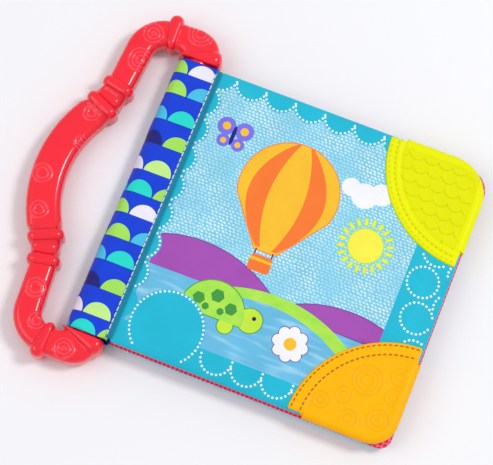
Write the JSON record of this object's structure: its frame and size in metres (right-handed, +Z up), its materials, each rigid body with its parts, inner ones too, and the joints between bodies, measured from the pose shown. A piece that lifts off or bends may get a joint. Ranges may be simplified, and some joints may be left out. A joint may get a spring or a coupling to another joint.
{
  "type": "teether book",
  "caption": "Square padded cloth baby book with a moulded carrying handle through its spine sleeve and chewable corners on the front cover.",
  "frame": {"origin": "on the floor under the middle of the closed book and its handle", "axes": "+X from the spine to the fore edge, +Y along the spine towards the top of the cover, +Z up out of the front cover"},
  "size_m": [0.2272, 0.1992, 0.0167],
  "materials": {
    "handle_red": "glossy soft moulding",
    "sleeve_blue": "woven satin",
    "print_lime": "printed cloth",
    "print_turquoise": "printed cloth",
    "print_sky": "printed cloth",
    "print_white": "printed cloth",
    "print_navy": "printed cloth",
    "page_red": "printed cloth",
    "cover_turquoise": "woven satin",
    "padding_white": "wadding",
    "lining_turquoise": "woven satin",
    "teether_yellow": "satin",
    "teether_orange": "satin",
    "picture_light_blue": "printed cloth",
    "print_purple": "printed cloth",
    "print_yellow": "printed cloth",
    "print_orange": "printed cloth",
    "print_lilac": "printed cloth"
  },
  "bodies": {
    "spine": {"spine_sleeve": "sleeve_blue", "sleeve_print_lime": "print_lime", "sleeve_print_turquoise": "print_turquoise", "sleeve_print_sky": "print_sky", "sleeve_print_white": "print_white", "sleeve_print_navy": "print_navy", "page": "page_red"},
    "front_cover": {"front_cover_face": "cover_turquoise", "front_cover_padding": "padding_white", "front_cover_lining": "lining_turquoise", "upper_teether": "teether_yellow", "lower_teether": "teether_orange", "border_rings": "print_white", "picture_sky": "picture_light_blue", "picture_hill": "print_purple", "picture_water": "print_sky", "picture_bank": "print_lime", "picture_yellow": "print_yellow", "picture_orange": "print_orange", "picture_green": "print_lime", "picture_white": "print_white", "picture_lilac": "print_lilac"},
    "back_cover": {"back_cover_face": "cover_turquoise", "back_cover_padding": "padding_white", "back_cover_lining": "lining_turquoise"},
    "handle_loop": {"handle": "handle_red"}
  },
  "joints": [
    {"name": "front_cover_fold", "type": "hinge", "parent": "spine", "child": "front_cover", "pos_m": [-0.0406, 0, 0.0169], "axis": [0, -1, 0], "range_deg": [0, 180]},
    {"name": "back_cover_fold", "type": "hinge", "parent": "spine", "child": "back_cover", "pos_m": [-0.0406, 0, -0.0004], "axis": [0, 1, 0], "range_deg": [0, 180]},
    {"name": "handle_swing", "type": "hinge", "parent": "spine", "child": "handle_loop", "pos_m": [-0.0538, 0, 0.008], "axis": [0, 1, 0], "range_deg": [-120, 120]}
  ]
}
